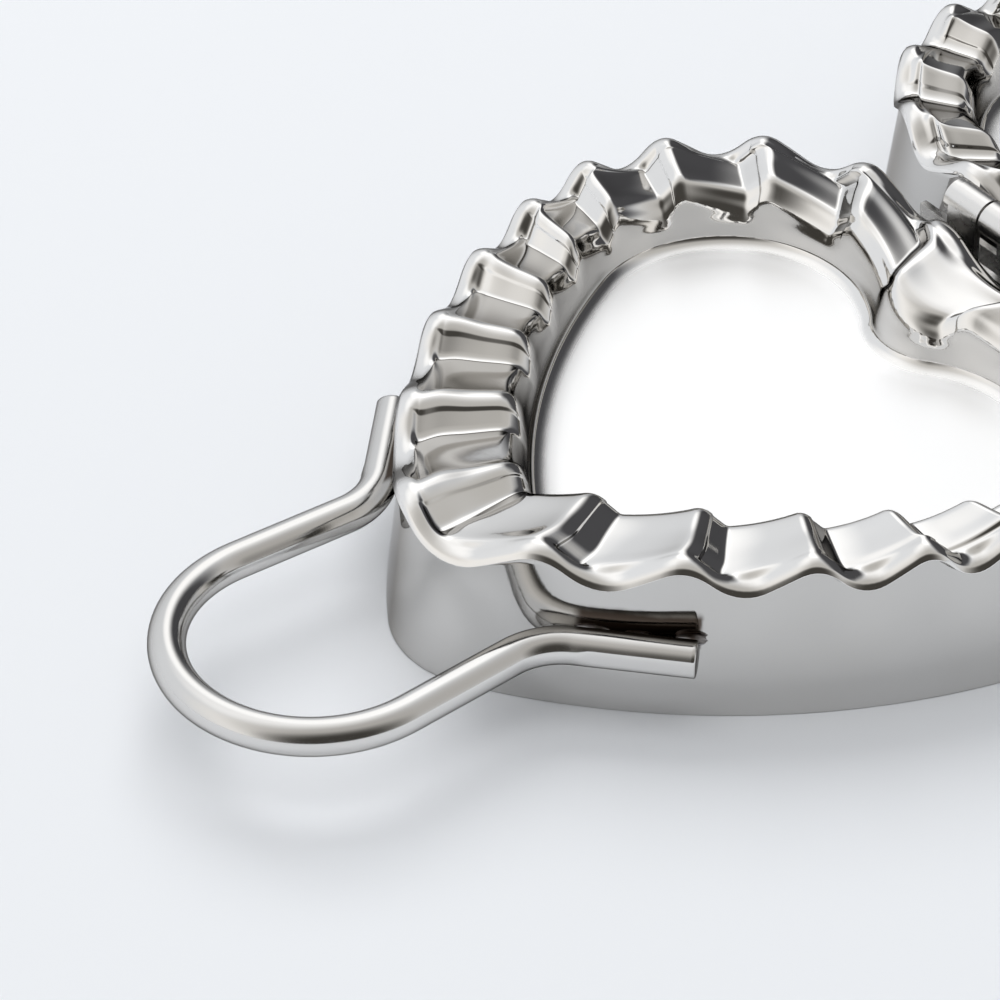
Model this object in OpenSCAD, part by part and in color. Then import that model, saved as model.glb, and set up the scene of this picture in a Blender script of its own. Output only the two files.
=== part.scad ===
// Heart shaped empanada press in polished stainless steel, opened flat on its two cutter skirts.
// The long axis is X, the hinge pin runs along Y through x = 0, and the table is z = 0.

/* [Recess outline] */
// plan radius of the recess at the point of the heart
recess_tip_r = 2.2; // [1.5:0.1:5]
// distance from the centre of that radius to the lobe centres along the axis
lobe_x = 30.9; // [27:0.1:35]
// distance of each lobe centre from the axis
lobe_y = 12.6; // [11:0.1:14]
// plan radius of the recess at each lobe
lobe_r = 14; // [12:0.1:16]
// plan radius of the bulged flanks of the recess
flank_r = 65; // [60:1:90]
// plan radius of the cleft of the recess
cleft_r = 6.1; // [5:0.1:7]

/* [Lip outline] */
// distance from the recess outline to the outer lip at the lobes
rim_w = 8.7; // [8:0.1:11]
// how far the centre of the lip's point lies behind that of the recess
lip_tip_back = 6; // [4:0.1:8]
// plan radius of the lip at the point of the heart
lip_tip_r = 10; // [8:0.1:12]
// plan radius of the flanks of the lip
lip_flank_r = 69; // [62:1:90]
// plan radius of the shallow notch in the lip at the cleft
lip_cleft_r = 20; // [8:1:30]

/* [Pressing plate] */
// sheet thickness of the pressing plate
plate_t = 0.8; // [0.5:0.1:1]
// middle height of the ruffled rim above the table, beside the lip
rim_z = 15.4; // [13:0.1:20]
// how much lower the rim is beside the recess
rim_dish = 0.4; // [0:0.1:1]
// height of the recess floor above the table
floor_z = 8.8; // [7:0.1:10]
// plan run of the floor fillet
floor_fillet = 2.2; // [1:0.1:3]
// outward run of the recess wall up to the rim
wall_run = 1.4; // [0.8:0.1:2]
// outward run of the rolled lip
lip_roll = 1.5; // [1:0.1:2]
// depth of the rolled lip
lip_drop = 0.9; // [0.9:0.1:2]

/* [Ruffles] */
// number of ruffles around each heart
ruffle_n = 19; // [13:1:20]
// half height of the ruffles at the lip
ruffle_amp = 1.25; // [0.5:0.05:1.5]
// half height of the ruffles at the recess edge
ruffle_amp_inner = 0.9; // [0.4:0.05:1.2]
// part of each ruffle taken by its long slope
ruffle_slope_part = 0.76; // [0.6:0.02:0.8]
// place of the first ridge past the point of the heart, in ruffles
ruffle_phase = 0.2; // [0:0.01:1]
// how much wider the ruffles are at the point and the cleft than on average, as a part of their width
ruffle_spread = 0.2; // [0:0.01:0.3]
// clear distance between the two rims when the press is shut
closed_gap = 1; // [0.8:0.1:2]

/* [Cutter skirt] */
// sheet thickness of the skirt
skirt_t = 0.8; // [0.5:0.1:1.2]
// how far the skirt foot stands out past the lip
skirt_foot_out = 0.75; // [0:0.05:1]
// how far the skirt top stands in from the lip
skirt_top_in = 0.9; // [0.9:0.1:1.5]

/* [Wire handles] */
// wire diameter
wire_d = 3.5; // [2.5:0.1:4]
// centreline radius of the round loop
loop_r = 13.2; // [11:0.1:15]
// distance from the lip point to the loop centre
loop_reach = 11.1; // [9:0.1:20]
// angle at which the legs close in towards the heart
leg_taper = 3; // [0:0.5:6]
// angle of the welded legs to the axis
weld_leg_angle = 47; // [40:0.5:50]
// straight length of each welded leg
weld_leg_len = 11; // [8:0.5:16]
// centreline radius of the bend before each welded leg
wire_bend_r = 7; // [5:0.5:10]
// height of the wire centreline above the table
wire_z = 7.9; // [6:0.1:9.5]
// how far the wire is pressed into the skirt by the weld
weld_bite = 0.05; // [0.02:0.01:0.1]
// radius of the weld beads along the wire
bead_r = 0.7; // [0.6:0.1:1]

/* [Hinge] */
// clear gap between each skirt foot and the hinge leaf beside it
leaf_gap = 0.1; // [0.1:0.05:1]
// pin diameter
pin_d = 2; // [1.6:0.1:2.2]
// radial running clearance of the pin in the knuckles
pin_fit = 0.05; // [0.02:0.01:0.08]
// sheet thickness of the hinge leaves
leaf_t = 0.75; // [0.5:0.05:0.8]
// length of the middle knuckle
mid_knuckle_len = 7.6; // [5:0.2:10]
// length of each outer knuckle
side_knuckle_len = 4; // [3:0.2:5]
// clearance between neighbouring knuckles
knuckle_gap = 0.3; // [0.3:0.05:0.5]
// radius of the pin heads
head_r = 1.7; // [1.4:0.1:1.8]
// thickness of the pin heads
head_t = 0.8; // [0.5:0.1:1]
// radius of the round spot welds between leaf and skirt
spot_r = 1.6; // [1:0.1:2]
// height of the spot welds above the table
spot_z = 5; // [4:0.5:8]
// how far each leaf runs past its spot welds
leaf_margin = 0.8; // [0.4:0.1:2]
// height of the lower leaf edge above the table
leaf_bottom_z = 2; // [1:0.5:3]
// height of the upper leaf edge outside the knuckles
leaf_top_z = 11; // [10:0.5:11.5]

/* [Hidden] */
// samples over one ruffle, closer together where it is steep
wave_cuts = [0, 0.09, 0.2, 0.34, 0.48, 0.62, 0.76, 0.82, 0.88, 0.94];
cuts = len(wave_cuts);
stations = ruffle_n*cuts;
curve_fn = 96;
bead_fn = 32;
to_rad = PI/180;
// least radius of an outline that is moved inwards, at the point and at the cleft
least_r = 0.6;
// place of the hinge line, and its distance from the tip centre of the recess
hinge_z = rim_z + closed_gap/2;
knuckle_r = pin_d/2 + pin_fit + leaf_t;
heart_x = lobe_x + lobe_r + rim_w + skirt_foot_out + leaf_gap + knuckle_r;

function polar(c, r, a) = [c[0] + r*cos(a), c[1] + r*sin(a)];
function mix(a, b, f) = a + (b - a)*f;
// centre of the flank arc that touches the tip circle at tip_x and the lobe circle
function flank_centre(tip_x, tip, lobe, flank) =
    let (to_lobe = [lobe_x - tip_x, lobe_y], span = norm(to_lobe), dir = to_lobe/span,
         along = (pow(flank - tip, 2) - pow(flank - lobe, 2) + span*span)/(2*span),
         across = sqrt(pow(flank - tip, 2) - along*along))
    [tip_x + along*dir[0] + across*dir[1], along*dir[1] - across*dir[0]];
// an outline is its tip radius, lobe radius, flank radius and flank centre
recess = [recess_tip_r, lobe_r, flank_r, flank_centre(0, recess_tip_r, lobe_r, flank_r)];
lip_lobe_r = lobe_r + rim_w;
lip = [lip_tip_r, lip_lobe_r, lip_flank_r, flank_centre(-lip_tip_back, lip_tip_r, lip_lobe_r, lip_flank_r)];
// radius and centre of the tip circle of outline h moved out by d
function tip_r_of(h, d) = max(h[0] + d, least_r);
function tip_x_of(h, d) = h[3][0] - sqrt(pow(h[2] + d - tip_r_of(h, d), 2) - pow(h[3][1], 2));
// angles where the tip, flank, lobe and cleft arcs meet, the cleft arc having radius rc
function tip_end(h, d) = atan2(-h[3][1], tip_x_of(h, d) - h[3][0]);
function flank_end(h) = atan2(lobe_y - h[3][1], lobe_x - h[3][0]);
function lobe_end(h, d, rc) = -asin(lobe_y/(h[1] + d + rc));
function cleft_x(h, d, rc) = lobe_x + sqrt(pow(h[1] + d + rc, 2) - lobe_y*lobe_y);
// cleft radius of the outlines near the recess and near the lip
function near_rc(d) = max(cleft_r - d, least_r);
function far_rc(e) = lip_cleft_r - e;
// point on outline h moved out by d, on arc k of tip, flank, lobe and cleft, at part f of it
function arc_point(h, k, f, d, rc) =
    k == 0 ? polar([tip_x_of(h, d), 0], tip_r_of(h, d), mix(180, tip_end(h, d), f)) :
    k == 1 ? polar(h[3], h[2] + d, mix(tip_end(h, d), flank_end(h), f)) :
    k == 2 ? polar([lobe_x, lobe_y], h[1] + d, mix(flank_end(h), lobe_end(h, d, rc), f)) :
    polar([cleft_x(h, d, rc), 0], rc, mix(lobe_end(h, d, rc), 0, f) + 180);
// lengths of the four arcs, and their mean between recess edge and lip, which spaces the ruffles
function arc_runs(h, d, rc) = to_rad*[
    (h[0] + d)*(180 - tip_end(h, d)),
    (h[2] + d)*(tip_end(h, d) - flank_end(h)),
    (h[1] + d)*(flank_end(h) - lobe_end(h, d, rc)),
    -rc*lobe_end(h, d, rc)];
mid_runs = (arc_runs(recess, wall_run, near_rc(wall_run)) + arc_runs(lip, 0, lip_cleft_r))/2;
run_0 = mid_runs[0];
run_1 = run_0 + mid_runs[1];
run_2 = run_1 + mid_runs[2];
half_run = run_2 + mid_runs[3];
function arc_of(s) = s < run_0 ? 0 : s < run_1 ? 1 : s < run_2 ? 2 : 3;
function part_of(s) =
    s < run_0 ? s/run_0 :
    s < run_1 ? (s - run_0)/(run_1 - run_0) :
    s < run_2 ? (s - run_1)/(run_2 - run_1) :
    (s - run_2)/(half_run - run_2);
function wrap(s) = s < 0 ? s + 2*half_run : s >= 2*half_run ? s - 2*half_run : s;
// run of station i from the point of the heart, with wider ruffles at the point and the cleft
function run_at(i) =
    let (u = (floor(i/cuts) + wave_cuts[i%cuts] + ruffle_phase)/ruffle_n)
    wrap(2*half_run*(u + ruffle_spread*sin(720*u)/(4*PI)));
function flip(p, side) = [p[0], side*p[1]];
function on_outline(h, s, d, rc) =
    s <= half_run ? arc_point(h, arc_of(s), part_of(s), d, rc) :
    flip(arc_point(h, arc_of(2*half_run - s), part_of(2*half_run - s), d, rc), -1);
// ruffle height from 1 to -1 over the part x of one ruffle, with its ridge at 0
function wave(x) = cos(360*(x < ruffle_slope_part ? x/ruffle_slope_part/2 :
    0.5 + (x - ruffle_slope_part)/(1 - ruffle_slope_part)/2));
function wave_at(i) = wave(wave_cuts[i%cuts]);
// ring at distance d from the recess edge, at height z with ruffle amplitude a
function near_ring(d, z, a) = [for (i = [0:stations - 1])
    let (p = on_outline(recess, run_at(i), d, near_rc(d))) [p[0], p[1], z + a*wave_at(i)]];
// ring at distance e from the lip
function lip_ring(e, z, a) = [for (i = [0:stations - 1])
    let (p = on_outline(lip, run_at(i), e, far_rc(e))) [p[0], p[1], z + a*wave_at(i)]];
// ring at part f of the way from the recess edge to the lip
function rim_ring(f, z, a) = [for (i = [0:stations - 1])
    let (p = on_outline(recess, run_at(i), wall_run, near_rc(wall_run)),
         q = on_outline(lip, run_at(i), 0, lip_cleft_r))
    [mix(p[0], q[0], f), mix(p[1], q[1], f), z + a*wave_at(i)]];
// joins ring j to ring j + 1 all round
function band(j, n) = [for (i = [0:n - 1], t = [0, 1])
    let (a = j*n + i, b = j*n + (i + 1)%n)
    t == 0 ? [a, b, b + n] : [a, b + n, a + n]];
function flatten(list) = [for (sub = list, item = sub) item];

// pressing plate from the floor out over the rim and back under it, up is 1 or -1 for the nesting ruffles
module plate_shell(up) {
    a = up*ruffle_amp;
    b = up*ruffle_amp_inner;
    edge_z = rim_z - rim_dish;
    wall_top = edge_z - 0.9;
    rings = [
        near_ring(-floor_fillet, floor_z, 0),
        near_ring(-floor_fillet*0.5, floor_z + floor_fillet*0.08, 0),
        near_ring(-floor_fillet*0.14, floor_z + floor_fillet*0.3, 0),
        near_ring(0, floor_z + floor_fillet*0.62, 0),
        near_ring(wall_run*0.55, mix(floor_z, wall_top, 0.62), b*0.5),
        near_ring(wall_run*0.86, wall_top, b*0.9),
        rim_ring(0.06, edge_z - 0.25, b),
        rim_ring(0.15, edge_z, b),
        rim_ring(0.5, mix(edge_z, rim_z, 0.5), (a + b)/2),
        lip_ring(-lip_roll, rim_z, a),
        lip_ring(-lip_roll*0.5, rim_z - lip_drop*0.2, a),
        lip_ring(-lip_roll*0.15, rim_z - lip_drop*0.5, a),
        lip_ring(0, rim_z - lip_drop, a),
        lip_ring(-plate_t, rim_z - lip_drop, a),
        lip_ring(-skirt_top_in, rim_z - plate_t, a),
        rim_ring(0.5, mix(edge_z, rim_z, 0.5) - plate_t, (a + b)/2),
        rim_ring(0.17, edge_z - plate_t, b),
        near_ring(wall_run*0.55 + plate_t, mix(floor_z, wall_top, 0.5), b*0.4),
        near_ring(plate_t*0.85, floor_z + floor_fillet*0.4, 0),
        near_ring(plate_t*0.3 - floor_fillet*0.5, floor_z - plate_t, 0)
    ];
    last = (len(rings) - 1)*stations;
    cap_top = [for (i = [0:stations - 1]) stations - 1 - i];
    cap_under = [for (i = [0:stations - 1]) last + i];
    polyhedron(points = flatten(rings),
        faces = concat([cap_top], flatten([for (j = [0:len(rings) - 2]) band(j, stations)]), [cap_under]),
        convexity = 10);
}
// ring shaped skirt that follows the ruffles on top and stands flat on the table
module skirt_shell(up) {
    a = up*ruffle_amp;
    rings = [
        lip_ring(skirt_foot_out, 0, 0),
        lip_ring(-skirt_top_in, rim_z - plate_t, a),
        lip_ring(-skirt_top_in - skirt_t, rim_z - plate_t, a),
        lip_ring(skirt_foot_out - skirt_t, 0, 0)
    ];
    total = 4*stations;
    closed = flatten([for (j = [0:3]) band(j, stations)]);
    polyhedron(points = flatten(rings),
        faces = [for (f = closed) [for (k = f) k%total]],
        convexity = 10);
}
// how far the skirt face stands out past the lip at height z
function skirt_out(z) = mix(skirt_foot_out, -skirt_top_in, z/(rim_z - plate_t));
// wire path, from the loop over the tapering leg and the bend to the leg welded along the skirt
loop_c = [-lip_tip_back - lip_tip_r - loop_reach, 0];
leg_start = polar(loop_c, loop_r, 90 - leg_taper);
leg_dir = [cos(leg_taper), -sin(leg_taper)];
weld_dir = [cos(weld_leg_angle), sin(weld_leg_angle)];
lip_flank_c = lip[3];
weld_line_r = lip_flank_r + skirt_out(wire_z) + wire_d/2 - weld_bite;
weld_mid = polar(lip_flank_c, weld_line_r, 90 + weld_leg_angle);
to_mid = weld_mid - leg_start;
turn = leg_taper + weld_leg_angle;
corner_run = (to_mid[0]*weld_dir[1] - to_mid[1]*weld_dir[0])/sin(turn);
bend_run = wire_bend_r*tan(turn/2);
leg_end = leg_start + (corner_run - bend_run)*leg_dir;
bend_c = polar(leg_end, wire_bend_r, 90 - leg_taper);
weld_start = polar(bend_c, wire_bend_r, weld_leg_angle - 90);
weld_end = weld_start + weld_leg_len*weld_dir;
rod_ease = 0.02;
rod_lap = 0.1;

// straight wire, a little thinner than the bends that it runs into at both ends
module wire_rod(from, to) {
    run = to - from;
    translate([from[0], from[1], wire_z])
        rotate([0, 90, atan2(run[1], run[0])])
            translate([0, 0, -rod_lap])
                cylinder(d = wire_d - rod_ease, h = norm(run) + 2*rod_lap, $fn = curve_fn);
}
module wire_arc(c, r, start, sweep) {
    translate([c[0], c[1], wire_z])
        rotate([0, 0, start])
            rotate_extrude(angle = sweep, $fn = curve_fn)
                translate([r, 0])
                    circle(d = wire_d, $fn = curve_fn);
}
module wire_side() {
    wire_rod(leg_start, leg_end);
    wire_arc(bend_c, wire_bend_r, -90 - leg_taper, turn);
    wire_rod(weld_start, weld_end);
}
module handle_wire() {
    wire_arc(loop_c, loop_r, 90 - leg_taper, 180 + 2*leg_taper);
    wire_side();
    mirror([0, 1, 0]) wire_side();
}
// beads halfway between wire and skirt, above the wire's middle, one near the bend and one near the end
module handle_welds() {
    lift = 0.2*wire_d;
    bead_z = wire_z + lift;
    wire_reach = sqrt(wire_d*wire_d/4 - lift*lift);
    for (side = [1, -1], f = [0.12, 0.94]) {
        out = weld_start + f*weld_leg_len*weld_dir - lip_flank_c;
        skirt_r = lip_flank_r + skirt_out(bead_z);
        p = lip_flank_c + (skirt_r + norm(out) - wire_reach)/2*out/norm(out);
        translate([p[0], side*p[1], bead_z]) sphere(r = bead_r, $fn = bead_fn);
    }
}
module along_y(len) {
    translate([0, len/2, 0]) rotate([90, 0, 0]) linear_extrude(height = len) children();
}
module knuckle(len) {
    difference() {
        along_y(len) union() {
            translate([0, hinge_z]) circle(r = knuckle_r, $fn = curve_fn);
            translate([-knuckle_r, leaf_top_z - leaf_t]) square([leaf_t, hinge_z - leaf_top_z + leaf_t]);
        }
        along_y(len + 2) translate([0, hinge_z]) circle(r = pin_d/2 + pin_fit, $fn = curve_fn);
    }
}
module leaf_plate() {
    leaf_w = 2*(lobe_y + spot_r + leaf_margin);
    translate([-knuckle_r, -leaf_w/2, leaf_bottom_z])
        cube([leaf_t, leaf_w, leaf_top_z - leaf_bottom_z]);
}
// round spot welds that fill the gap between leaf and skirt at the lobes
module spot_welds() {
    bite = 0.2;
    reach = leaf_gap + skirt_foot_out - skirt_out(spot_z) + bite;
    for (side = [1, -1])
        translate([-knuckle_r - reach, side*lobe_y, spot_z])
            rotate([0, 90, 0]) cylinder(r = spot_r, h = reach, $fn = curve_fn);
}
// the front half has its recess tip centre at this distance before the hinge line
module front_side() {
    translate([-heart_x, 0, 0]) children();
}
module rear_side() {
    mirror([1, 0, 0]) front_side() children();
}
side_knuckle_y = mid_knuckle_len/2 + knuckle_gap + side_knuckle_len/2;
pin_len = mid_knuckle_len + 2*knuckle_gap + 2*side_knuckle_len;

module front_pressing_plate() {
    color("Silver") front_side() plate_shell(1);
}
module rear_pressing_plate() {
    color("Silver") rear_side() plate_shell(-1);
}
module front_cutter_skirt() {
    color("LightSlateGray") front_side() skirt_shell(1);
}
module rear_cutter_skirt() {
    color("LightSlateGray") rear_side() skirt_shell(-1);
}
module front_handle_wire() {
    color("Gainsboro") front_side() handle_wire();
}
module rear_handle_wire() {
    color("Gainsboro") rear_side() handle_wire();
}
module front_handle_welds() {
    color("DimGray") front_side() handle_welds();
}
module rear_handle_welds() {
    color("DimGray") rear_side() handle_welds();
}
module front_hinge_leaf() {
    color("DarkGray") {
        leaf_plate();
        for (side = [1, -1]) translate([0, side*side_knuckle_y, 0]) knuckle(side_knuckle_len);
    }
}
module rear_hinge_leaf() {
    color("DarkGray") mirror([1, 0, 0]) {
        leaf_plate();
        knuckle(mid_knuckle_len);
    }
}
module front_hinge_welds() {
    color("DimGray") spot_welds();
}
module rear_hinge_welds() {
    color("DimGray") mirror([1, 0, 0]) spot_welds();
}
module hinge_pin() {
    color("Gray") translate([0, 0, hinge_z]) rotate([90, 0, 0]) {
        cylinder(d = pin_d, h = pin_len, center = true, $fn = curve_fn);
        for (side = [1, -1])
            translate([0, 0, side*(pin_len + head_t)/2])
                cylinder(r = head_r, h = head_t, center = true, $fn = curve_fn);
    }
}

front_pressing_plate();
rear_pressing_plate();
front_cutter_skirt();
rear_cutter_skirt();
front_handle_wire();
rear_handle_wire();
front_handle_welds();
rear_handle_welds();
front_hinge_leaf();
rear_hinge_leaf();
front_hinge_welds();
rear_hinge_welds();
hinge_pin();
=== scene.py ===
"""Heart shaped empanada press, opened flat: polished sheet, bent wire, welds and hinge.

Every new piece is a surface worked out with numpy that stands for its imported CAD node.
Lengths are in millimetres and become metres where a mesh or a material is made.
"""

import math

import bpy
import numpy as np
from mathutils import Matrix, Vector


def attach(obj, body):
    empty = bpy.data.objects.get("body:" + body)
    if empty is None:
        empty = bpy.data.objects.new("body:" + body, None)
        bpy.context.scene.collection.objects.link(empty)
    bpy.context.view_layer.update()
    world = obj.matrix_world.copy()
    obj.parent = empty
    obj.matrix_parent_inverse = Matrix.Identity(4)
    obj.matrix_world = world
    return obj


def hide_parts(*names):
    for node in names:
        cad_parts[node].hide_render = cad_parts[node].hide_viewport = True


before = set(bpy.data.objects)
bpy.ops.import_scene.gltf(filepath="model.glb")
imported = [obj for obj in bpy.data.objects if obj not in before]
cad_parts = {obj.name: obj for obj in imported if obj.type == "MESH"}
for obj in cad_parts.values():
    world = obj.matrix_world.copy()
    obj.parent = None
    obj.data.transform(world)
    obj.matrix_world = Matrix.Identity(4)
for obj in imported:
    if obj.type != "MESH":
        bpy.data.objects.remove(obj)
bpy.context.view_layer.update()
MM = 0.001
quarter_turn, half_turn, full_turn = math.pi / 2, math.pi, 2 * math.pi

# Recess outline: radius at the point, place and radius of the lobe, flank and cleft radii
tip_r = 2.2
lobe_x, lobe_y, lobe_r = 30.9, 12.6, 14.0
flank_r, cleft_r = 65.0, 6.1
# Lip outline
rim_w = 8.7
lip_back, lip_tip_r = 6.0, 10.0
lip_flank_r, lip_cleft_r = 69.0, 20.0
# Least radius of an outline moved inwards, at the point and at the cleft
least_r = 0.6
# Pressing plate
sheet_t = 0.8
rim_z, rim_dish, floor_z = 15.4, 0.4, 8.8
wall_run, lip_roll, lip_drop = 1.4, 1.5, 0.9
edge_z = rim_z - rim_dish
# Ruffles: how many, how far they are turned and spread, and how high they stand
ruffle_count = 19
ruffle_turn, ruffle_spread = 0.2, 0.2
crest, crest_inner = 1.25, 0.9
# Share of a ruffle at which the crease lies, and at which the lip hangs lowest
crease_at, lip_low_at = 0.76, 0.6
# Bead on the ridge, in shares of a ruffle: how far before its corner it starts, and its rise
bead_start, bead_rise = 0.015, 0.02
# Stations over one ruffle, as start, end and count: few on the slope, most on crease and bead
station_bands = ((0.08, 0.68, 12), (0.68, 0.88, 11), (0.88, 0.925, 8), (0.925, 1.08, 10))
# Skirt
foot_out, skirt_in = 0.75, 0.9
skirt_top_z = rim_z - sheet_t
# Foot of the skirt: the run of its rounding, and the share of that run and the height at which
# its corner row lies
foot_round, foot_corner, foot_low = 0.14, 0.3, 0.05
# The skirt's top lies just under the sheet. Its ruffle starts at a share of the height, and takes
# a share of the crest and of the crisp wave.
skirt_clear, ruffle_from = 0.02, 0.55
skirt_crest, skirt_crisp = 0.96 * crest, 0.25
# Handle
wire_d, wire_z = 3.5, 7.9
loop_r, loop_reach, taper = 13.2, 11.1, math.radians(3)
weld_angle, weld_len, bend_r = math.radians(47), 11.0, 7.0
weld_bite = 0.05
# Points along the half loop, leg, bend and welded leg, and round the wire
loop_steps, leg_steps, bend_steps, weld_steps = 90, 24, 34, 26
round_steps = 48
# Welded legs pressed flat: cut of a round and of a pressed wire, and softness of its corner, in
# radii of the wire, and the run over which it is pressed
round_cut, press_cut, press_soft = 1.12, 0.9, 0.03
press_run = 1.4
# Sheared wire ends: distance from the end and share of the radius
wire_end = np.array([(0, 0.86), (0.04, 0.95), (0.16, 1.0)])
# Weld beads: share of the leg, half length, half width, half height and turn of the dents
bead_sizes = (
    (0.12, 1.6, 0.6, 0.5, 0.4),
    (0.5, 1.2, 0.3, 0.25, 2.2),
    (0.94, 1.4, 0.65, 0.5, 1.7),
    (1.0, 0.9, 0.16, 0.14, 0.9),
)
# How far they touch above the middle of the wire, how far they sink from there, the depths of
# their slow and quick dents, and their rings and points round each
bead_lift, bead_sink = 0.2 * wire_d, 0.1
slow_dent, quick_dent = 0.09, 0.06
bead_rings, bead_round = 18, 30
# Hinge, whose knuckle sets how far the heart stands from the pin
leaf_gap = 0.1
pin_r, pin_fit, leaf_t = 1.0, 0.05, 0.75
knuckle_r = pin_r + pin_fit + leaf_t
heart_x = lobe_x + lobe_r + rim_w + foot_out + leaf_gap + knuckle_r


# Outlines


def heart(tip_x, tip, lobe, flank):
    """Outline of a tip circle and two lobe circles joined by flank arcs that touch them.

    The flank centre lies along the line from tip centre to lobe centre and across it, where two
    circles of known radii meet.
    """
    span = math.hypot(lobe_x - tip_x, lobe_y)
    ahead_x, ahead_y = (lobe_x - tip_x) / span, lobe_y / span
    along = ((flank - tip) ** 2 - (flank - lobe) ** 2 + span**2) / (2 * span)
    across = math.sqrt((flank - tip) ** 2 - along**2)
    centre_x = tip_x + along * ahead_x + across * ahead_y
    centre_y = along * ahead_y - across * ahead_x
    return {"tip": tip, "lobe": lobe, "flank": flank, "cx": centre_x, "cy": centre_y}


recess = heart(0, tip_r, lobe_r, flank_r)
lip = heart(-lip_back, lip_tip_r, lobe_r + rim_w, lip_flank_r)


def arcs_of(h, out, cleft):
    """Tip circle of the outline h moved out, and the angles at which its four arcs meet."""
    tip = max(h["tip"] + out, least_r)
    tip_x = h["cx"] - math.sqrt((h["flank"] + out - tip) ** 2 - h["cy"] ** 2)
    tip_end = math.atan2(-h["cy"], tip_x - h["cx"])
    flank_end = math.atan2(lobe_y - h["cy"], lobe_x - h["cx"])
    lobe_end = -math.asin(lobe_y / (h["lobe"] + out + cleft))
    return tip, tip_x, tip_end, flank_end, lobe_end


def near_cleft(out):
    """Cleft radius beside the recess: it shrinks as the outline moves out."""
    return max(cleft_r - out, least_r)


def arc_lengths(h, out, cleft):
    """Lengths of the tip, flank, lobe and cleft arcs: radius times angle."""
    _, _, tip_end, flank_end, lobe_end = arcs_of(h, out, cleft)
    tip_arc = (h["tip"] + out) * (half_turn - tip_end)
    flank_arc = (h["flank"] + out) * (tip_end - flank_end)
    lobe_arc = (h["lobe"] + out) * (flank_end - lobe_end)
    return np.array([tip_arc, flank_arc, lobe_arc, -cleft * lobe_end])


# The ruffles are spaced along the mean of the recess edge and the lip
recess_arcs = arc_lengths(recess, wall_run, near_cleft(wall_run))
lip_arcs = arc_lengths(lip, 0, lip_cleft_r)
run_0, run_1, run_2, half_run = np.cumsum((recess_arcs + lip_arcs) / 2)


def heart_point(h, run, out, cleft):
    """Point of the outline h moved out.

    The run is shared out over four touching arcs (tip, flank, lobe, cleft), each a centre plus
    radius times cosine and sine. The far side of the heart is the mirror image.
    """
    tip, tip_x, tip_end, flank_end, lobe_end = arcs_of(h, out, cleft)
    side = np.where(run <= half_run, 1.0, -1.0)
    s = np.where(run <= half_run, run, 2 * half_run - run)
    flank, lobe = h["flank"] + out, h["lobe"] + out
    cleft_x = lobe_x + math.sqrt((lobe + cleft) ** 2 - lobe_y**2)
    a0 = half_turn + (tip_end - half_turn) * s / run_0
    a1 = tip_end + (flank_end - tip_end) * (s - run_0) / (run_1 - run_0)
    a2 = flank_end + (lobe_end - flank_end) * (s - run_1) / (run_2 - run_1)
    a3 = lobe_end * (1 - (s - run_2) / (half_run - run_2)) + half_turn
    part = [s < run_0, s < run_1, s < run_2]
    x_arcs = [tip_x + tip * np.cos(a0), h["cx"] + flank * np.cos(a1), lobe_x + lobe * np.cos(a2)]
    y_arcs = [tip * np.sin(a0), h["cy"] + flank * np.sin(a1), lobe_y + lobe * np.sin(a2)]
    x = np.select(part, x_arcs, cleft_x + cleft * np.cos(a3))
    y = np.select(part, y_arcs, cleft * np.sin(a3))
    return x, side * y


def polar(cx, cy, r, a):
    """Point at radius r and angle a from a centre."""
    return np.array([cx + r * math.cos(a), cy + r * math.sin(a)])


# Curves


def smooth(t):
    """Smooth step of t, flat at 0 and at 1: three t squared less two t cubed."""
    t = np.clip(t, 0, 1)
    return t * t * (3 - 2 * t)


def cubic(u, start, start_slope, end, end_slope):
    """Cubic over u from 0 to 1 that keeps the value and the slope of both ends."""
    return (
        (2 * u**3 - 3 * u**2 + 1) * start
        + (u**3 - 2 * u**2 + u) * start_slope
        + (3 * u**2 - 2 * u**3) * end
        + (u**3 - u**2) * end_slope
    )


def ruffle(x, low_at, curl, peak, valley, step=0.0):
    """Height of one ruffle over x from 0 to 1.

    It falls from the ridge at 0 to its low at low_at, steeper near the ridge by the share curl,
    then climbs straight back. Cubics round both corners, peak and valley wide to each side. A
    smooth step just before the ridge, which dies away cubically after it, makes the bead, and the
    whole is scaled to reach 1 and -1.
    """
    x = np.mod(x, 1.0)
    climb = 2 / (1 - low_at)

    def fall(t):
        t = t / low_at
        return 1 - 2 * (t * (1 - curl) + curl * (1 - (1 - t) ** 2))

    def fall_slope(t):
        return -2 / low_at * ((1 - curl) + 2 * curl * (1 - t / low_at))

    def rounded(h, place, width, before, after):
        d = x - place
        d = np.where(d > 0.5, d - 1, d)
        u = np.clip((d + width) / (2 * width), 0, 1)
        corner = cubic(u, before[0], 2 * width * before[1], after[0], 2 * width * after[1])
        return np.where(np.abs(d) < width, corner, h)

    h = np.where(x < low_at, fall(x), 1 + climb * (x - 1))
    h = rounded(h, 0, peak, (1 - climb * peak, climb), (fall(peak), fall_slope(peak)))
    before = (fall(low_at - valley), fall_slope(low_at - valley))
    h = rounded(h, low_at, valley, before, (-1 + climb * valley, climb))
    rise = smooth((x - (1 - peak) + bead_start) / bead_rise)
    sink = np.clip(x / low_at, 0, 1)
    h = h + step * np.where(x < low_at, (1 - sink) ** 3, rise)
    return 2 * (h - h.min()) / (h.max() - h.min()) - 1


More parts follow.
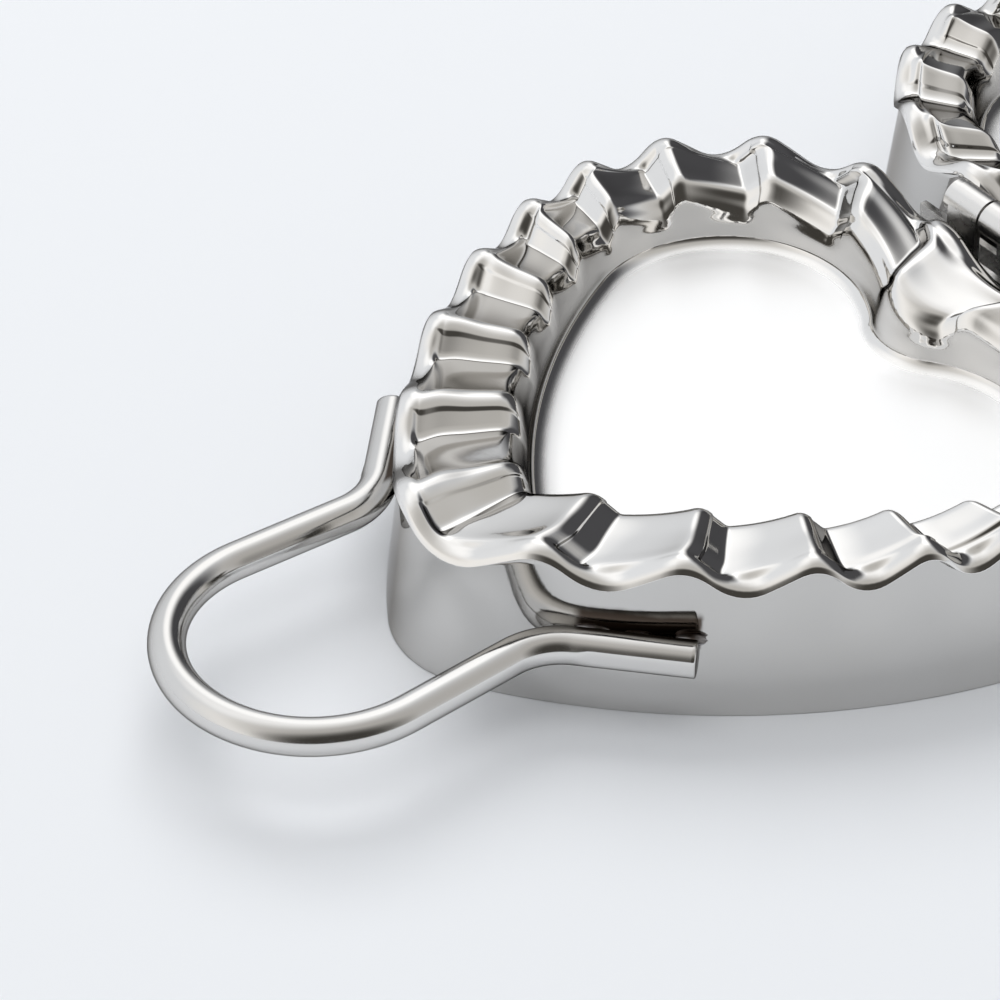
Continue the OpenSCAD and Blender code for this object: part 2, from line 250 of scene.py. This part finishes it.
def ruffle_stations():
    """Runs from the point of the heart, and the part of a ruffle at each.

    A sine of twice the way round makes the ruffles wider at the point and the cleft.
    """
    one = [np.linspace(start, end, count, endpoint=False) for start, end, count in station_bands]
    one = np.sort(np.mod(np.concatenate(one), 1.0))
    x = np.tile(one, ruffle_count)
    way = (np.repeat(np.arange(ruffle_count), len(one)) + x + ruffle_turn) / ruffle_count
    twice = 2 * full_turn
    run = 2 * half_run * (way + ruffle_spread * np.sin(twice * way) / twice)
    return np.mod(run, 2 * half_run), x


station_run, station_part = ruffle_stations()
crisp_wave = ruffle(station_part, crease_at, curl=0.4, peak=0.09, valley=0.03, step=0.17)
lip_wave = ruffle(station_part, lip_low_at, curl=0.0, peak=0.16, valley=0.2)


def smooth_rows(keys, count):
    """Rows between key rows: a Catmull-Rom curve through each station's key points, its knots
    spaced by the root of the rows' mean gap."""
    keys = np.asarray(keys, float)
    gap = np.linalg.norm(np.diff(keys, axis=0), axis=2).mean(axis=1)
    t = np.concatenate([[0], np.cumsum(np.sqrt(gap))])
    slope = np.empty_like(keys)
    slope[1:-1] = (keys[2:] - keys[:-2]) / (t[2:] - t[:-2])[:, None, None]
    slope[0] = (keys[1] - keys[0]) / (t[1] - t[0])
    slope[-1] = (keys[-1] - keys[-2]) / (t[-1] - t[-2])
    q = np.linspace(0, t[-1], count)
    j = np.clip(np.searchsorted(t, q, side="right") - 1, 0, len(t) - 2)
    span = (t[j + 1] - t[j])[:, None, None]
    u = (q - t[j])[:, None, None] / span
    return cubic(u, keys[j], span * slope[j], keys[j + 1], span * slope[j + 1])


# Pieces


def grid_mesh(name, rows, close_rows=False, cap_ends=False, mirrored=False):
    """Closed mesh over a grid of points, rows by stations; the stations go round.

    Caps are fans to the mean of the first and last rows. The mirrored copy has its x turned and
    its faces turned back outwards.
    """
    rows = np.asarray(rows, float)
    n_rows, n = rows.shape[:2]
    points = rows.reshape(-1, 3)
    i = np.arange(n)
    nxt = (i + 1) % n
    j = np.arange(n_rows if close_rows else n_rows - 1)[:, None]
    up = (j + 1) % n_rows
    quads = np.stack([j * n + i, j * n + nxt, up * n + nxt, up * n + i], axis=-1).reshape(-1, 4)
    loops, starts = quads.ravel(), np.arange(len(quads)) * 4
    totals = np.full(len(quads), 4)
    if cap_ends:
        points = np.vstack([points, rows[0].mean(axis=0), rows[-1].mean(axis=0)])
        first, last = len(points) - 2, len(points) - 1
        base = (n_rows - 1) * n
        fan_a = np.stack([nxt, i, np.full(n, first)], axis=-1)
        fan_b = np.stack([base + i, base + nxt, np.full(n, last)], axis=-1)
        fans = np.vstack([fan_a, fan_b])
        starts = np.concatenate([starts, len(loops) + np.arange(len(fans)) * 3])
        totals = np.concatenate([totals, np.full(len(fans), 3)])
        loops = np.concatenate([loops, fans.ravel()])
    if mirrored:
        points = points * np.array([-1.0, 1.0, 1.0])
        within = np.arange(len(loops)) - np.repeat(starts, totals)
        loops = loops[np.repeat(starts + totals - 1, totals) - within]
    mesh = bpy.data.meshes.new(name)
    mesh.vertices.add(len(points))
    mesh.vertices.foreach_set("co", (points * MM).ravel())
    mesh.loops.add(len(loops))
    mesh.loops.foreach_set("vertex_index", loops.astype(np.int32))
    mesh.polygons.add(len(starts))
    mesh.polygons.foreach_set("loop_start", starts.astype(np.int32))
    mesh.polygons.foreach_set("use_smooth", np.ones(len(starts), bool))
    mesh.update(calc_edges=True)
    mesh.validate()
    piece = bpy.data.objects.new(name, mesh)
    bpy.context.scene.collection.objects.link(piece)
    return piece


def joined(name, pieces):
    """One object from several closed ones, each keeping its own surface."""
    chosen = {"selected_editable_objects": pieces, "selected_objects": pieces}
    with bpy.context.temp_override(active_object=pieces[0], **chosen):
        bpy.ops.object.join()
    pieces[0].name = pieces[0].data.name = name
    return pieces[0]


def ring(kind, place, z, height, crisp, up):
    """One closed row of the sheet.

    Near rows keep a distance from the recess edge, lip rows one from the lip, and rim rows lie a
    share of the way between. Its height is z plus the ruffle, which mixes the crisp wave and the
    lip's wave; up is -1 on the rear half, where each ruffle is turned over to nest when shut.
    """
    wave = crisp * crisp_wave + (1 - crisp) * lip_wave
    if kind == "near":
        x, y = heart_point(recess, station_run, place, near_cleft(place))
    elif kind == "lip":
        x, y = heart_point(lip, station_run, place, lip_cleft_r - place)
    else:
        x0, y0 = heart_point(recess, station_run, wall_run, near_cleft(wall_run))
        x1, y1 = heart_point(lip, station_run, 0, lip_cleft_r)
        x, y = x0 + (x1 - x0) * place, y0 + (y1 - y0) * place
    return np.stack([x, y, z + up * height * wave], axis=-1)


# Section of the stamping, from the recess floor up its wall, over the rim and down the lip.
# Each row holds the edge it follows, its place, its height, its ruffle and its share of crispness.
top_section = (
    ("near", -3.4, floor_z, 0, 1),
    ("near", -2.6, floor_z + 0.035, 0, 1),
    ("near", -1.8, floor_z + 0.147, 0, 1),
    ("near", -1.2, floor_z + 0.297, 0, 1),
    ("near", -0.8, floor_z + 0.451, 0, 1),
    ("near", -0.5, floor_z + 0.631, 0, 1),
    ("near", -0.3, floor_z + 0.831, 0, 1),
    ("near", -0.18, floor_z + 1.07, 0, 1),
    ("near", -0.02, floor_z + 1.8, 0, 1),
    ("near", 0.12, floor_z + 2.4, 0.04, 1),
    ("near", 0.34, floor_z + 3.2, 0.3 * crest_inner, 1),
    ("near", 0.7, floor_z + 4.4, 0.75 * crest_inner, 1),
    ("rim", -0.02, edge_z - 0.95, crest_inner, 1),
    ("rim", 0.03, edge_z - 0.4, crest_inner, 1),
    ("rim", 0.08, edge_z - 0.14, crest_inner, 1),
    ("rim", 0.15, edge_z, 1.03 * crest_inner, 1),
    ("rim", 0.4, edge_z + 0.12, 1.02, 1),
    ("rim", 0.62, rim_z - 0.08, 1.16, 1),
    ("lip", -lip_roll - 0.95, rim_z - 0.02, crest, 1),
    ("lip", -lip_roll - 0.55, rim_z, crest, 0.85),
    ("lip", -lip_roll - 0.2, rim_z + 0.02, crest, 0.35),
    ("lip", -0.94 * lip_roll, rim_z, crest, 0.06),
    ("lip", -0.7 * lip_roll, rim_z - 0.07, crest, 0),
    ("lip", -0.46 * lip_roll, rim_z - 0.21, crest, 0),
    ("lip", -0.28 * lip_roll, rim_z - 0.37, crest, 0),
    ("lip", -0.2 * lip_roll, rim_z - 0.47, crest, 0),
    ("lip", -0.19, rim_z - 0.64, crest, 0),
    ("lip", -0.06, rim_z - 0.91, crest, 0),
    ("lip", -0.02, rim_z - 1.0, crest, 0),
)
under_section = (
    ("lip", -0.06, rim_z - lip_drop - 0.14, crest, 0),
    ("lip", -0.24, rim_z - lip_drop - 0.16, crest, 0),
    ("lip", -0.6, rim_z - lip_drop - 0.1, crest, 0.1),
    ("lip", -1.1, rim_z - sheet_t - 0.1, crest, 0.5),
    ("lip", -lip_roll - 0.5, rim_z - sheet_t, crest, 1),
    ("rim", 0.5, edge_z + 0.15 - sheet_t, (crest + crest_inner) / 2, 1),
    ("rim", 0.17, edge_z - sheet_t, crest_inner, 1),
    ("near", 1.6, floor_z + 4.6, 0.5 * crest_inner, 1),
    ("near", 1.05, floor_z + 3.0, 0.1, 1),
    ("near", 0.6, floor_z + 1.0, 0, 1),
    ("near", -0.6, floor_z - 0.5, 0, 1),
    ("near", -3.4, floor_z - sheet_t, 0, 1),
)
top_rows, under_rows = 92, 24
# Middle of the recess floor, and the shares of the way from it at which floor rows lie
floor_x = 20.0
floor_shares, underside_shares = (0.04, 0.35, 0.7, 0.92), (0.92, 0.5, 0.04)


def pressing_plate(name, mirrored):
    """The stamping: flat heart floor, shallow dish, tight fillet, steep smooth wall, ruffled wall
    and rim, rolled lip, and the same way back one sheet below.

    Each row is an outline of the heart; its place, height and ruffle follow the sheet's section.
    """
    up = -1 if mirrored else 1
    top = smooth_rows([ring(*row, up) for row in top_section], top_rows)
    under = smooth_rows([ring(*row, up) for row in under_section], under_rows)
    centre = np.array([floor_x, 0.0, floor_z])
    inner = np.stack([centre + (top[0] - centre) * share for share in floor_shares])
    low = np.array([floor_x, 0.0, floor_z - sheet_t])
    outer = np.stack([low + (under[-1] - low) * share for share in underside_shares])
    rows = np.concatenate([inner, top, under, outer])
    rows[..., 0] -= heart_x
    return grid_mesh(name, rows, cap_ends=True, mirrored=mirrored)


# Shares of the skirt's height at which its rows lie
foot_shares = [0.012, 0.03]
outer_shares = foot_shares + list(np.linspace(0.08, 1.0, 14))
inner_shares = list(np.linspace(1.0, 0.08, 10)) + foot_shares[::-1]


def cutter_skirt(name, mirrored):
    """Plain band with a straight flared wall, its foot rounded over the sheet's thickness.

    A wall row lies a share f of the height up and moves in by the same share. Its top follows
    the ruffles.
    """
    up = -1 if mirrored else 1

    def wall(f, thickness):
        out = foot_out - thickness - (skirt_in + foot_out) * f
        height = skirt_crest * max(0.0, (f - ruffle_from) / (1 - ruffle_from))
        return ring("lip", out, (skirt_top_z - skirt_clear) * f, height, skirt_crisp, up)

    inside = foot_out - sheet_t
    foot = [
        ring("lip", inside + foot_corner * foot_round, foot_low, 0, 1, up),
        ring("lip", inside + foot_round, 0.0, 0, 1, up),
        ring("lip", foot_out - foot_round, 0.0, 0, 1, up),
        ring("lip", foot_out - foot_corner * foot_round, foot_low, 0, 1, up),
    ]
    outer = [wall(f, 0) for f in outer_shares]
    inner = [wall(f, sheet_t) for f in inner_shares]
    rows = np.stack(foot + outer + inner)
    rows[..., 0] -= heart_x
    return grid_mesh(name, rows, close_rows=True, mirrored=mirrored)


def skirt_out(z):
    """How far the skirt face stands out past the lip at height z."""
    return foot_out - (skirt_in + foot_out) * z / skirt_top_z


def handle_line():
    """Centreline of the bent wire, and the start and direction of its welded leg.

    It runs over a welded leg, a bend, a tapering leg and half the loop, then back as the mirror
    image. Legs are straight lines, the bend and the loop arcs of circles.
    """
    loop_cx = -lip_back - lip_tip_r - loop_reach
    leg_start = polar(loop_cx, 0, loop_r, quarter_turn - taper)
    leg_dir = np.array([math.cos(taper), -math.sin(taper)])
    weld_dir = np.array([math.cos(weld_angle), math.sin(weld_angle)])
    line_r = lip_flank_r + skirt_out(wire_z) + wire_d / 2 - weld_bite
    to_mid = polar(lip["cx"], lip["cy"], line_r, quarter_turn + weld_angle) - leg_start
    turn = taper + weld_angle
    corner = (to_mid[0] * weld_dir[1] - to_mid[1] * weld_dir[0]) / math.sin(turn)
    leg_end = leg_start + (corner - bend_r * math.tan(turn / 2)) * leg_dir
    bend_c = polar(leg_end[0], leg_end[1], bend_r, quarter_turn - taper)
    weld_start = polar(bend_c[0], bend_c[1], bend_r, weld_angle - quarter_turn)
    a = np.linspace(half_turn, quarter_turn - taper, loop_steps)
    loop = np.stack([loop_cx + loop_r * np.cos(a), loop_r * np.sin(a)], axis=-1)
    leg = leg_start + (leg_end - leg_start) * np.linspace(0, 1, leg_steps)[1:-1, None]
    a = np.linspace(-quarter_turn - taper, weld_angle - quarter_turn, bend_steps)
    bend = np.stack([bend_c[0] + bend_r * np.cos(a), bend_c[1] + bend_r * np.sin(a)], axis=-1)
    weld = weld_start + weld_dir * weld_len * np.linspace(0, 1, weld_steps)[1:, None]
    half = np.concatenate([loop, leg, bend, weld])
    whole = np.concatenate([half[::-1], half[1:] * np.array([1.0, -1.0])])
    return whole, weld_start, weld_dir


def bent_wire(name, mirrored):
    """Round wire swept along its centreline: a circle across each point of the line.

    The last circles shrink, so that the sheared ends are a little rounded. The welded legs are
    pressed flat on their outer side, where a soft maximum cuts the circle off.
    """
    line, _, _ = handle_line()
    step = np.gradient(line, axis=0)
    ahead = step / np.linalg.norm(step, axis=1, keepdims=True)
    across = np.stack([-ahead[:, 1], ahead[:, 0]], axis=-1)
    back, shrink = wire_end[:, :1], wire_end[:, 1]
    place = np.concatenate(
        [line[0] + ahead[0] * back, line[1:-1], line[-1] - ahead[-1] * back[::-1]]
    )
    ends = np.ones((len(back), 1))
    side = np.concatenate([across[0] * ends, across[1:-1], across[-1] * ends])
    size = np.concatenate([shrink, np.ones(len(line) - 2), shrink[::-1]])
    to_first = np.linalg.norm(place - line[0], axis=1)
    to_last = np.linalg.norm(place - line[-1], axis=1)
    pressed = smooth((weld_len - np.minimum(to_first, to_last)) / press_run)
    cut = (round_cut - (round_cut - press_cut) * pressed)[:, None]
    a = np.linspace(0, full_turn, round_steps, endpoint=False)[None, :]
    reach_in = press_soft * np.log1p(np.exp((np.cos(a) + cut) / press_soft)) - cut
    r = wire_d / 2 * size[:, None]
    flat = place[:, None, :] + side[:, None, :] * (r * reach_in)[..., None]
    z = wire_z + r * np.sin(a)
    rows = np.concatenate([flat, z[..., None]], axis=-1)
    rows[..., 0] -= heart_x
    return grid_mesh(name, rows[::-1], cap_ends=True, mirrored=mirrored)


def weld_beads(name, mirrored):
    """Burnt beads in the crevice between wire and skirt, four on each leg.

    Each is a ball drawn out along the wire, dented by a few sines.
    """
    _, weld_start, weld_dir = handle_line()
    bead_z = wire_z + bead_lift
    wire_reach = math.sqrt(wire_d**2 / 4 - bead_lift**2)
    centre = np.array([lip["cx"], lip["cy"]])
    v = np.linspace(0, half_turn, bead_rings)[1:-1, None]
    u = np.linspace(0, full_turn, bead_round, endpoint=False)[None, :]
    beads = []
    for side in (1, -1):
        for place, length, wide, tall, turn in bead_sizes:
            out = weld_start + place * weld_len * weld_dir - centre
            far = np.linalg.norm(out)
            spot = centre + (lip_flank_r + skirt_out(bead_z) + far - wire_reach) / 2 * out / far
            dent = 1 + slow_dent * np.sin(3 * u + turn) * np.sin(2 * v)
            dent = dent + quick_dent * np.sin(5 * u - turn + side) * np.sin(v) ** 2
            along = length * dent * np.cos(v)
            across = wide * dent * np.sin(v) * np.cos(u)
            x = spot[0] + along * weld_dir[0] - across * weld_dir[1] - heart_x
            y = side * (spot[1] + along * weld_dir[1] + across * weld_dir[0])
            z = bead_z - bead_sink + tall * dent * np.sin(v) * np.sin(u)
            rows = np.stack([x, y, z], axis=-1)
            rows = rows if side < 0 else rows[::-1]
            beads.append(grid_mesh(name, rows, cap_ends=True, mirrored=mirrored))
    return joined(name, beads)


# Materials


def add(tree, kind, sockets=None, **settings):
    """New shader node. A socket takes a number, a colour or another node's output."""
    node = tree.nodes.new("ShaderNode" + kind)
    for setting, value in settings.items():
        setattr(node, setting, value)
    for socket, value in (sockets or {}).items():
        if isinstance(value, bpy.types.NodeSocket):
            tree.links.new(value, node.inputs[socket])
        else:
            node.inputs[socket].default_value = value
    return node


def bare_material(name, kind):
    """Material with one shader of a kind on its output: the material, its tree, the shader."""
    material = bpy.data.materials.new(name)
    material.use_nodes = True
    tree = material.node_tree
    tree.nodes.clear()
    shader = add(tree, kind)
    add(tree, "OutputMaterial", {"Surface": shader.outputs[0]})
    return material, tree, shader


def noise(tree, place, scale, detail):
    """Outputs of a cloudy noise over the place."""
    sockets = {"Vector": place, "Scale": scale, "Detail": detail}
    return add(tree, "TexNoise", sockets).outputs


def mapped(tree, value, low, high, to_low, to_high, **settings):
    """Value carried from the range low to high to the range to_low to to_high, and held there."""
    sockets = {"Value": value, "From Min": low, "From Max": high}
    sockets.update({"To Min": to_low, "To Max": to_high})
    return add(tree, "MapRange", sockets, **settings).outputs["Result"]


def smooth_share(tree, value, low, high):
    """Smooth step of the value, 0 at low and 1 at high."""
    return mapped(tree, value, low, high, 0.0, 1.0, interpolation_type="SMOOTHSTEP")


def blended(tree, amount, under, over):
    """Colour that goes from under to over by the amount."""
    sockets = {"Factor": amount, "A": under, "B": over}
    return add(tree, "Mix", sockets, data_type="RGBA").outputs["Result"]


def ramp(tree, amount, low, low_colour, high, high_colour):
    """Colour that goes straight from one to the other between two amounts."""
    node = add(tree, "ValToRGB", {"Fac": amount})
    for stop, place, colour in zip(
        node.color_ramp.elements, (low, high), (low_colour, high_colour), strict=True
    ):
        stop.position, stop.color = place, (*colour, 1)
    return node.outputs["Color"]


# Stainless steel: its tint, and the shares to which the drift of its tone dulls each colour
steel_tint, steel_drift = (1.0, 0.99, 0.975), (0.97, 0.965, 0.955)
# Satin floor: heights above it, added roughness, colour and share of metal
satin_top, satin_full = 0.5, 0.05
satin_rough, satin_colour, satin_metal = 0.36, (0.97, 0.97, 0.97, 1), 0.55
# Polishing lines: their turn, and their scale across, along and up; and how much higher than
# them the soft dents stand
line_turn, line_scale = math.radians(24), (9000, 260, 2600)
dent_share = 18.0
# Brown band beside the welded legs, heat tint with painted shade of the gap and a painted dark
# reflection of the wire: its colour and how far noise stirs its edge, in metres
shade_and_burn_brown, shade_and_burn_stir = (0.1, 0.08, 0.068, 1), 0.0006


def sheet_steel(name, tone, gloss, scratch, edge, satin_floor=False, shade_and_burn_band=None):
    """Polished stainless steel.

    Its colour drifts a little over centimetres, its roughness over millimetres. Two noises, one
    stretched to fine polishing lines, make the bump. A satin floor is rougher, paler and less
    metallic below the fillet, by a smooth step of the height. Beside the welded legs the metal is
    turned brown between two heights: partly heat tint, partly painted shade of the gap between
    wire and skirt and a painted dark reflection of the wire. Tone is its brightness, gloss its
    roughness and scratch the depth of the bump in metres. Edge, a dark specular tint, dims the
    mirror where it is seen edge on.
    """
    material, tree, steel = bare_material(name, "BsdfPrincipled")
    place = add(tree, "TexCoord").outputs["Object"]
    clean = [tone * t for t in steel_tint]
    dull = [c * d for c, d in zip(clean, steel_drift, strict=True)]
    drift = noise(tree, place, scale=60, detail=3)["Fac"]
    colour = ramp(tree, drift, 0.3, dull, 0.7, clean)
    haze = noise(tree, place, scale=420, detail=4)["Fac"]
    rough = mapped(tree, haze, 0.3, 0.75, 0.75 * gloss, 1.35 * gloss)
    steel.inputs["Metallic"].default_value = 1.0
    if satin_floor:
        height = add(tree, "SeparateXYZ", {"Vector": place}).outputs["Z"]
        full, top = (floor_z + satin_full) * MM, (floor_z + satin_top) * MM
        on_floor = smooth_share(tree, height, top, full)
        rougher = {0: on_floor, 1: satin_rough, 2: rough}
        rough = add(tree, "Math", rougher, operation="MULTIPLY_ADD").outputs["Value"]
        colour = blended(tree, on_floor, colour, satin_colour)
        metal = mapped(tree, on_floor, 0.0, 1.0, 1.0, satin_metal)
        tree.links.new(metal, steel.inputs["Metallic"])
    if shade_and_burn_band:
        # Painted shade and painted dark reflection beside the welded legs, with some heat tint
        colour = shaded_and_burnt(tree, place, colour, *shade_and_burn_band)
    tree.links.new(rough, steel.inputs["Roughness"])
    tree.links.new(colour, steel.inputs["Base Color"])
    steel.inputs["Specular Tint"].default_value = (edge, edge * 0.97, edge * 0.94, 1)
    drawn = {"Vector": place, "Rotation": (0, 0, line_turn), "Scale": line_scale}
    lines = noise(tree, add(tree, "Mapping", drawn).outputs["Vector"], scale=1, detail=2)["Fac"]
    dents = noise(tree, place, scale=130, detail=2)["Fac"]
    mixed = add(tree, "Math", {0: dents, 1: dent_share, 2: lines}, operation="MULTIPLY_ADD")
    bumps = {"Strength": 1.0, "Distance": scratch, "Height": mixed.outputs["Value"]}
    tree.links.new(add(tree, "Bump", bumps).outputs["Normal"], steel.inputs["Normal"])
    return material


def shaded_and_burnt(tree, place, clean, low, high):
    """Clean colour turned brown beside the welded legs, between two heights: partly heat tint,
    partly painted shade of the gap and a painted dark reflection of the wire.

    Its amount is the product of smooth steps along the leg and in height, at a place that noise
    stirs a little.
    """
    _, leg_start, leg_dir = handle_line()
    stir = noise(tree, place, scale=700, detail=3)["Color"]
    shaken = {0: stir, 1: (shade_and_burn_stir, shade_and_burn_stir, shade_and_burn_stir), 2: place}
    shaken = add(tree, "VectorMath", shaken, operation="MULTIPLY_ADD").outputs["Vector"]
    one_side = add(tree, "VectorMath", {0: shaken}, operation="ABSOLUTE").outputs["Vector"]
    along_leg = {0: one_side, 1: (-leg_dir[0], leg_dir[1], 0)}
    along = add(tree, "VectorMath", along_leg, operation="DOT_PRODUCT").outputs["Value"]
    up = add(tree, "SeparateXYZ", {"Vector": one_side}).outputs["Z"]
    near = leg_start[1] * leg_dir[1] - (heart_x - leg_start[0]) * leg_dir[0]
    amount = smooth_share(tree, along, (near - 0.8) * MM, (near + 0.4) * MM)
    end = near + weld_len
    for value, start, stop in (
        (along, end + 0.2, end - 0.2),
        (up, low, low + 0.3),
        (up, high + 0.5, high - 0.5),
    ):
        share = smooth_share(tree, value, start * MM, stop * MM)
        amount = add(tree, "Math", {0: amount, 1: share}, operation="MULTIPLY").outputs["Value"]
    return blended(tree, amount, clean, shade_and_burn_brown)


def weld_steel(name):
    """Burnt weld metal: brown and blue grey patches, a grainy roughness and a pitted bump."""
    material, tree, steel = bare_material(name, "BsdfPrincipled")
    steel.inputs["Metallic"].default_value = 1.0
    place = add(tree, "TexCoord").outputs["Object"]
    patch = noise(tree, place, scale=900, detail=3)["Fac"]
    colour = ramp(tree, patch, 0.35, (0.13, 0.1, 0.085), 0.68, (0.42, 0.41, 0.42))
    tree.links.new(colour, steel.inputs["Base Color"])
    grain = mapped(tree, patch, 0.0, 1.0, 0.22, 0.5)
    tree.links.new(grain, steel.inputs["Roughness"])
    pits = {"Distance": 0.08 * MM, "Height": patch}
    tree.links.new(add(tree, "Bump", pits).outputs["Normal"], steel.inputs["Normal"])
    return material


polished_sheet = sheet_steel(
    "polished_sheet", tone=0.85, gloss=0.05, scratch=1.0e-6, edge=0.15, satin_floor=True
)
# Heights of the brown band beside the welded legs: heat tint with painted shade and a painted dark
# reflection of the wire
shade_and_burn_heights = (wire_z - 0.5, wire_z + 3.1)
skirt_sheet = sheet_steel(
    "skirt_sheet", tone=0.6, gloss=0.06, scratch=1.0e-6, edge=0.5, shade_and_burn_band=shade_and_burn_heights
)
polished_wire = sheet_steel("polished_wire", tone=0.72, gloss=0.11, scratch=1.6e-6, edge=0.2)
hinge_steel = sheet_steel("hinge_steel", tone=0.8, gloss=0.24, scratch=3.0e-6, edge=0.5)
weld_metal = weld_steel("weld_metal")

for make, name, node, slot, finish in (
    (pressing_plate, "plate_sheet", "pressing_plate", "polished_sheet", polished_sheet),
    (cutter_skirt, "skirt_sheet", "cutter_skirt", "polished_sheet", skirt_sheet),
    (bent_wire, "wire", "handle_wire", "polished_wire", polished_wire),
    (weld_beads, "beads", "handle_welds", "weld_metal", weld_metal),
):
    for side, mirrored in (("front", False), ("rear", True)):
        piece = make(side + "_" + name, mirrored)
        piece.data.materials.append(finish)
        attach(piece, side + "_half")
        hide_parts(side + "_" + node)
for node, finish in (
    ("front_hinge_welds", weld_metal),
    ("rear_hinge_welds", weld_metal),
    ("front_hinge_leaf", hinge_steel),
    ("rear_hinge_leaf", hinge_steel),
    ("hinge_pin", hinge_steel),
):
    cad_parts[node].data.materials.clear()
    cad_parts[node].data.materials.append(finish)


# Studio, in metres

table_half = 4
corners = [(-1, -1), (1, -1), (1, 1), (-1, 1)]
table = bpy.data.meshes.new("table_top")
table.from_pydata([(x * table_half, y * table_half, 0) for x, y in corners], [], [(0, 1, 2, 3)])
pale_table, _, paint = bare_material("pale_table", "BsdfPrincipled")
paint.inputs["Base Color"].default_value = (0.865, 0.88, 0.905, 1)
paint.inputs["Roughness"].default_value = 0.85
table.materials.append(pale_table)
table_top = bpy.data.objects.new("table_top", table)
bpy.context.scene.collection.objects.link(table_top)

# Light tent: its plain glow, then each cloth or dark card laid over it, as its glow, azimuth and
# elevation, and the degrees within which it is full and past which it is gone
tent_radius, tent_rings, tent_round = 2.4, 34, 64
tent_plain = (0.87, 0.89, 0.92, 1)
tent_cloths = (
    ((1.03, 1.01, 0.98, 1), -160, 35, 15, 62),
    ((1.16, 1.16, 1.16, 1), 85, 74, 12, 36),
    ((1.4, 1.4, 1.4, 1), 43, 43, 12, 28),
    ((0.54, 0.525, 0.5, 1), -100, 38, 28, 78),
    ((0.06, 0.056, 0.05, 1), -115, 14, 15, 56),
    ((0.075, 0.075, 0.08, 1), 4, 14, 27, 50),
)


def direction(azimuth, elevation):
    """Unit vector at an azimuth anticlockwise from +X and an elevation, in degrees."""
    a, e = math.radians(azimuth), math.radians(elevation)
    return (math.cos(a) * math.cos(e), math.sin(a) * math.cos(e), math.sin(e))


def tent_glow():
    """Glow of the light tent that the metal mirrors.

    The direction from the press is compared with the middle of each cloth or dark card by a dot
    product, and a smooth step turns that into its share.
    """
    material, tree, glow = bare_material("light_tent", "Emission")
    place = add(tree, "TexCoord").outputs["Object"]
    unit = add(tree, "VectorMath", {0: place}, operation="NORMALIZE").outputs["Vector"]
    shown = tent_plain
    for colour, azimuth, elevation, inner, outer in tent_cloths:
        middle = {0: unit, 1: direction(azimuth, elevation)}
        toward = add(tree, "VectorMath", middle, operation="DOT_PRODUCT").outputs["Value"]
        gone, full = math.cos(math.radians(outer)), math.cos(math.radians(inner))
        shown = blended(tree, smooth_share(tree, toward, gone, full), shown, colour)
    tree.links.new(shown, glow.inputs["Color"])
    return material


def light_tent(radius):
    """Sphere round the press, latitude by longitude. Only mirrored rays see it."""
    v = np.linspace(-quarter_turn, quarter_turn, tent_rings)[1:-1, None]
    u = np.linspace(0, full_turn, tent_round, endpoint=False)[None, :]
    rows = np.stack([np.cos(v) * np.cos(u), np.cos(v) * np.sin(u), np.sin(v) + 0 * u], axis=-1)
    tent = grid_mesh("light_tent", rows * radius / MM, cap_ends=True)
    tent.data.materials.append(tent_glow())
    tent.visible_camera = False
    tent.visible_diffuse = False
    tent.visible_shadow = False
    tent.visible_transmission = False
    tent.visible_volume_scatter = False


light_tent(tent_radius)
lamp_aim = (-0.05, 0, 0)


def soft_lamp(name, place, width, depth, watts):
    """Area lamp aimed at the front half. Mirrored rays see the tent instead of it."""
    lamp = bpy.data.lights.new(name, "AREA")
    lamp.shape = "RECTANGLE"
    lamp.size, lamp.size_y = width, depth
    lamp.energy = watts
    lamp_object = bpy.data.objects.new(name, lamp)
    lamp_object.location = place
    heading = Vector(lamp_aim) - Vector(place)
    lamp_object.rotation_euler = heading.to_track_quat("-Z", "Y").to_euler()
    lamp_object.visible_camera = False
    lamp_object.visible_glossy = False
    bpy.context.scene.collection.objects.link(lamp_object)


soft_lamp("back_softbox", (0.35, 0.75, 1.0), 1.1, 0.9, 8.0)
soft_lamp("overhead_cloth", (-0.4, -0.3, 1.3), 1.3, 1.3, 5.0)

# World: a dim fill on the press, and a pale background for camera, mirrored and passing rays
world = bpy.data.worlds.new("pale_studio")
bpy.context.scene.world = world
world.use_nodes = True
sky = world.node_tree
sky.nodes.clear()
dim = add(sky, "Background", {"Color": (0.96, 0.98, 1.0, 1), "Strength": 0.5})
seen = add(sky, "Background", {"Color": (0.9, 0.92, 0.96, 1), "Strength": 1.0})
rays = add(sky, "LightPath").outputs
either = {0: rays["Is Camera Ray"], 1: rays["Is Glossy Ray"]}
either = add(sky, "Math", either, operation="MAXIMUM").outputs["Value"]
direct = {0: either, 1: rays["Is Transmission Ray"]}
direct = add(sky, "Math", direct, operation="MAXIMUM").outputs["Value"]
blend = {"Fac": direct, 1: dim.outputs["Background"], 2: seen.outputs["Background"]}
blend = add(sky, "MixShader", blend).outputs["Shader"]
add(sky, "OutputWorld", {"Surface": blend})

# Camera at the photograph's angle, in metres
aim_point = Vector((-heart_x * MM - 0.00186, 0.00603, 0.00758))
looking = Vector((0.47105, 0.62148, -0.62600)).normalized()
camera_distance = 0.4262
camera_data = bpy.data.cameras.new("photo_camera")
camera_data.sensor_width = 36
camera_data.lens = 165.91
camera_data.clip_start, camera_data.clip_end = 0.02, 20
camera = bpy.data.objects.new("photo_camera", camera_data)
camera.location = aim_point - looking * camera_distance
camera.rotation_euler = looking.to_track_quat("-Z", "Y").to_euler()
bpy.context.scene.collection.objects.link(camera)
bpy.context.scene.camera = camera
bpy.context.scene.view_settings.view_transform = "Standard"
